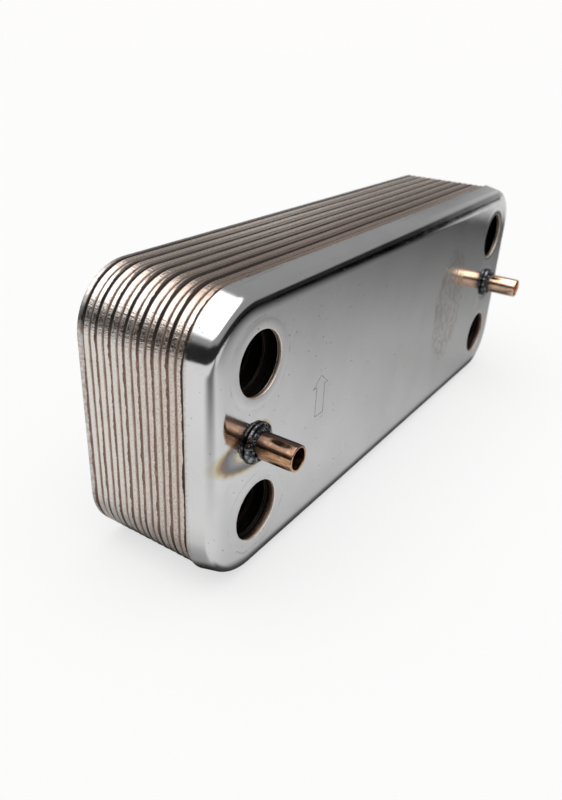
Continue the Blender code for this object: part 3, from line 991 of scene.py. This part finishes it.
def make_weld_bead(word):
    """A lumpy bead: ripples kept inside the CAD bead's outline and merged into one skin."""
    node = f"weld_bead_{word}"
    centre, outer = axis_of(node)
    bm = bmesh.new()
    weld_lumps(bm, centre[0] / MM)
    for vert in bm.verts:
        vert.co.y = min(vert.co.y, -0.02 * MM)
        shrink = min(1.0, outer / math.hypot(vert.co.x, vert.co.z))
        vert.co.x = vert.co.x * shrink + centre[0]
        vert.co.z = vert.co.z * shrink + centre[1]
    piece = new_piece(f"lumpy_weld_{word}", bm, WELD, "weld", node)
    remesh = piece.modifiers.new("merge", "REMESH")
    remesh.mode = "VOXEL"
    remesh.voxel_size = 0.11 * MM
    remesh.use_smooth_shade = True
    smooth = piece.modifiers.new("soften", "SMOOTH")
    smooth.factor = 0.5
    smooth.iterations = 5


def make_spacer(side, word):
    """A ring with rounded edges round the lower port, behind the cover."""
    node = f"port_spacer_{word}"
    low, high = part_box(node)
    outer = (high.x - low.x) / 2 - SPACER_EDGE
    inner = SPACER_BORE_RADIUS + SPACER_EDGE
    front, back = low.y + SPACER_EDGE, high.y - SPACER_EDGE
    profile = []
    for quarter, (radius, y) in enumerate(((outer, back), (inner, back), (inner, front), (outer, front))):
        profile += arc(radius, y, SPACER_EDGE, 90 * quarter, 90 * quarter + 90, 3)
    centre = (side * PORT_X, -PORT_Z)
    shade(turned_piece(f"spacer_ring_{word}", profile, BRAZE, "copper", centre, True, node), 50.0)


# Arrow mark ------------------------------------------------------------------------------------------

ARROW_X = -49.1 * MM
ARROW_Z = -4.7 * MM
ARROW_LENGTH = 11.6 * MM
ARROW_HEAD_LENGTH = 2.9 * MM
ARROW_HEAD = 3.6 * MM
ARROW_SHAFT = 2.0 * MM
ARROW_LINE = 0.08 * MM
INK_FRONT = -0.02 * MM
INK_BACK = -0.002 * MM


def make_arrow_mark():
    """A thin printed outline of an arrow that points up, on the cover's face."""
    neck = ARROW_LENGTH - ARROW_HEAD_LENGTH
    corners = [
        (-ARROW_SHAFT, 0.0), (ARROW_SHAFT, 0.0), (ARROW_SHAFT, neck), (ARROW_HEAD, neck),
        (0.0, ARROW_LENGTH), (-ARROW_HEAD, neck), (-ARROW_SHAFT, neck),
    ]
    bm = bmesh.new()
    for start, end in zip(corners, corners[1:] + corners[:1]):
        a, b = Vector(start), Vector(end)
        along = (b - a).normalized() * ARROW_LINE
        across = Vector((-along.y, along.x))
        a, b = a - along, b + along
        ring = [a - across, b - across, b + across, a + across]
        front = [bm.verts.new((ARROW_X + p.x, INK_FRONT, ARROW_Z + p.y)) for p in ring]
        back = [bm.verts.new((ARROW_X + p.x, INK_BACK, ARROW_Z + p.y)) for p in ring]
        bm.faces.new(front)
        bm.faces.new(list(reversed(back)))
        skin(bm, [front, back])
    bmesh.ops.recalc_face_normals(bm, faces=bm.faces)
    new_piece("arrow_mark", bm, MARK, "stainless_cover")


make_front_cover()
for plate_index in range(1, CHANNEL_PLATES + 1):
    make_channel_plate(plate_index)
make_rear_cover()
for seam_index in range(1, CHANNEL_PLATES + 2):
    make_braze_seam(seam_index)
for stud_side, stud_word in ((-1, "left"), (1, "right")):
    make_stud(stud_word)
    make_weld_bead(stud_word)
    make_spacer(stud_side, stud_word)
make_arrow_mark()


# Floor, light and camera -----------------------------------------------------------------------------

FLOOR_RADIUS = 6.0
# The share of the floor's shaded colour, and the glow, that the camera sees
SHADED_SHARE = 0.25
FLOOR_GLOW = 0.672
BACKDROP_GLOW = 0.982
# The camera's painted shadow on the floor, which the steel mirrors as a dark strip, in mm
CAMERA_SPOT_X, CAMERA_SPOT_Y = -185.0, -110.0
# The world's strength of the panel overhead, the room, the horizon and the far right-hand end
PANEL_LIGHT = 2.6
ROOM_LIGHT = 0.40
HORIZON_LIGHT = 0.025
RIGHT_END_LIGHT = 0.55


def mirrored_floor(shader):
    """0 to 1: how bright the floor is in the steel's reflections.

    It is a lit table top in an unlit room: it darkens to the front right, under the camera, far away to
    the right, and right beneath the object.
    """
    x, y = shader.x, shader.y
    fall = shader.add(shader.math("DIVIDE", shader.add(x, 7.0), -215.0),
                      shader.math("DIVIDE", shader.add(y, 14.0), 391.0))
    close = shader.math("EXPONENT", shader.math("DIVIDE", shader.absolute(y), -25.0))
    bright = shader.mul(shader.math("EXPONENT", fall), shader.add(shader.mul(close, 0.16), 0.71))
    bright = shader.math("MINIMUM", bright, 0.86)
    behind = shader.between(y, -20.0, 90.0, 0.0, 0.78)
    bright = shader.math("MAXIMUM", bright, behind)
    front_left = shader.mul(shader.between(shader.add(x, y), -150.0, -420.0, 0.0, 0.72),
                            shader.between(x, 100.0, 220.0, 1.0, 0.0))
    bright = shader.math("MAXIMUM", bright, front_left)
    right_hand = shader.between(shader.sum(x, (y, 1.2)), 0.0, 120.0)
    far = shader.mul(shader.between(shader.length(x, y), 280.0, 600.0, 0.0, 0.94), right_hand)
    bright = shader.mul(bright, shader.inverse(far))
    far_end = shader.mul(shader.between(x, 340.0, 440.0, 0.0, 0.72),
                         shader.between(shader.sum(y, (x, 0.30)), -60.0, 0.0))
    bright = shader.math("MAXIMUM", bright, far_end)
    # The camera's painted shadow is drawn out towards -Y, drifting to the left.
    in_front = shader.sub(y, CAMERA_SPOT_Y)
    drift = shader.mul(shader.math("MINIMUM", in_front, 0.0), 0.33)
    beside_camera = shader.sub(shader.sub(x, CAMERA_SPOT_X), drift)
    from_camera = shader.length(beside_camera, shader.math("MAXIMUM", in_front, 0.0))
    bright = shader.mul(bright, shader.between(from_camera, 15.0, 130.0, 0.22, 1.0))
    beneath = shader.mul(shader.between(y, -5.0, -0.5), shader.between(y, 34.0, 38.0, 1.0, 0.0),
                         shader.between(shader.absolute(x), 90.0, 96.0, 0.85, 0.0))
    bright = shader.mul(bright, shader.inverse(beneath))
    beside_end = shader.mul(shader.between(x, -125.0, -97.0, 0.0, 0.45), shader.between(y, -2.0, 4.0))
    return shader.mul(bright, shader.inverse(beside_end))


def make_floor_paper():
    """Plain white paper, which is darker where the steel mirrors it."""
    shader = Shader("floor_paper")
    grain = shader.noise(0.5, 3.0)
    colour = shader.mix(grain, (0.83, 0.83, 0.83), (0.86, 0.86, 0.86))
    rays = shader.new("LightPath").outputs
    dark = shader.mul(shader.inverse(mirrored_floor(shader)), rays["Is Glossy Ray"])
    colour = shader.mix(dark, colour, BLACK)
    # The paper is nearly overexposed: most of its brightness doesn't depend on the shadow.
    seen = rays["Is Camera Ray"]
    colour = shader.paint(colour, seen, 1.0 - SHADED_SHARE, BLACK)
    return shader.finish(colour, 0.7, shader.bump(grain, 0.02), metallic=0.0, Specular_IOR_Level=0.0,
                         Emission_Color=(1.0, 1.0, 1.0), Emission_Strength=shader.mul(seen, FLOOR_GLOW))


def make_floor():
    """A wide disc of paper under the object."""
    bm = bmesh.new()
    bmesh.ops.create_circle(bm, cap_ends=True, segments=64, radius=FLOOR_RADIUS)
    floor = new_object("floor", bm, make_floor_paper())
    floor.location.z = CAD_BOUNDS[0][2]


def make_world():
    """A dim room with a dark horizon and a large soft panel overhead, which leans to the left."""
    world = bpy.data.worlds.new("studio")
    bpy.context.scene.world = world
    world.use_nodes = True
    nodes = Nodes(world.node_tree)
    x, y, z = nodes.split(nodes.coordinates["Generated"])
    toward_panel = nodes.sum(nodes.mul(x, -0.185), (y, -0.02), (z, 0.982))
    panel = nodes.between(toward_panel, 0.70, 0.82)
    # The horizon stands higher to the left.
    height = nodes.sub(z, nodes.between(x, -0.30, -0.80, 0.0, 0.15))
    room = nodes.add(nodes.between(height, 0.24, 0.36, HORIZON_LIGHT, ROOM_LIGHT),
                     nodes.between(x, 0.915, 0.960, 0.0, RIGHT_END_LIGHT))
    light = nodes.sum(room, (panel, PANEL_LIGHT))
    # The camera itself sees a white backdrop.
    seen = nodes.new("LightPath").outputs["Is Camera Ray"]
    light = nodes.sum(nodes.mul(light, nodes.inverse(seen)), (seen, BACKDROP_GLOW))
    background = world.node_tree.nodes["Background"]
    nodes.link((1.0, 0.995, 0.985), background.inputs["Color"])
    nodes.link(light, background.inputs["Strength"])


def make_camera():
    """The camera stands in front of the left-hand end and looks down along the cover."""
    place = Vector((-193.67, -80.72, 85.07)) * MM
    azimuth, elevation, roll = math.radians(57.26), math.radians(-27.51), math.radians(2.91)
    forward = Vector((math.sin(azimuth) * math.cos(elevation), math.cos(azimuth) * math.cos(elevation),
                      math.sin(elevation)))
    right = forward.cross(Vector((0.0, 0.0, 1.0))).normalized()
    up = right.cross(forward)
    turned_right = right * math.cos(roll) + up * math.sin(roll)
    turned_up = up * math.cos(roll) - right * math.sin(roll)
    data = bpy.data.cameras.new("camera")
    data.lens = 31.457
    data.sensor_width = 36.0
    data.clip_start = 0.01
    data.dof.use_dof = True
    data.dof.focus_distance = 0.158
    data.dof.aperture_fstop = 32.0
    camera = bpy.data.objects.new("camera", data)
    turn = Matrix((turned_right, turned_up, -forward)).transposed().to_4x4()
    camera.matrix_world = Matrix.Translation(place) @ turn
    bpy.context.scene.collection.objects.link(camera)
    bpy.context.scene.camera = camera


make_floor()
make_world()
make_camera()
bpy.context.scene.view_settings.view_transform = "Standard"

bpy.context.view_layer.update()
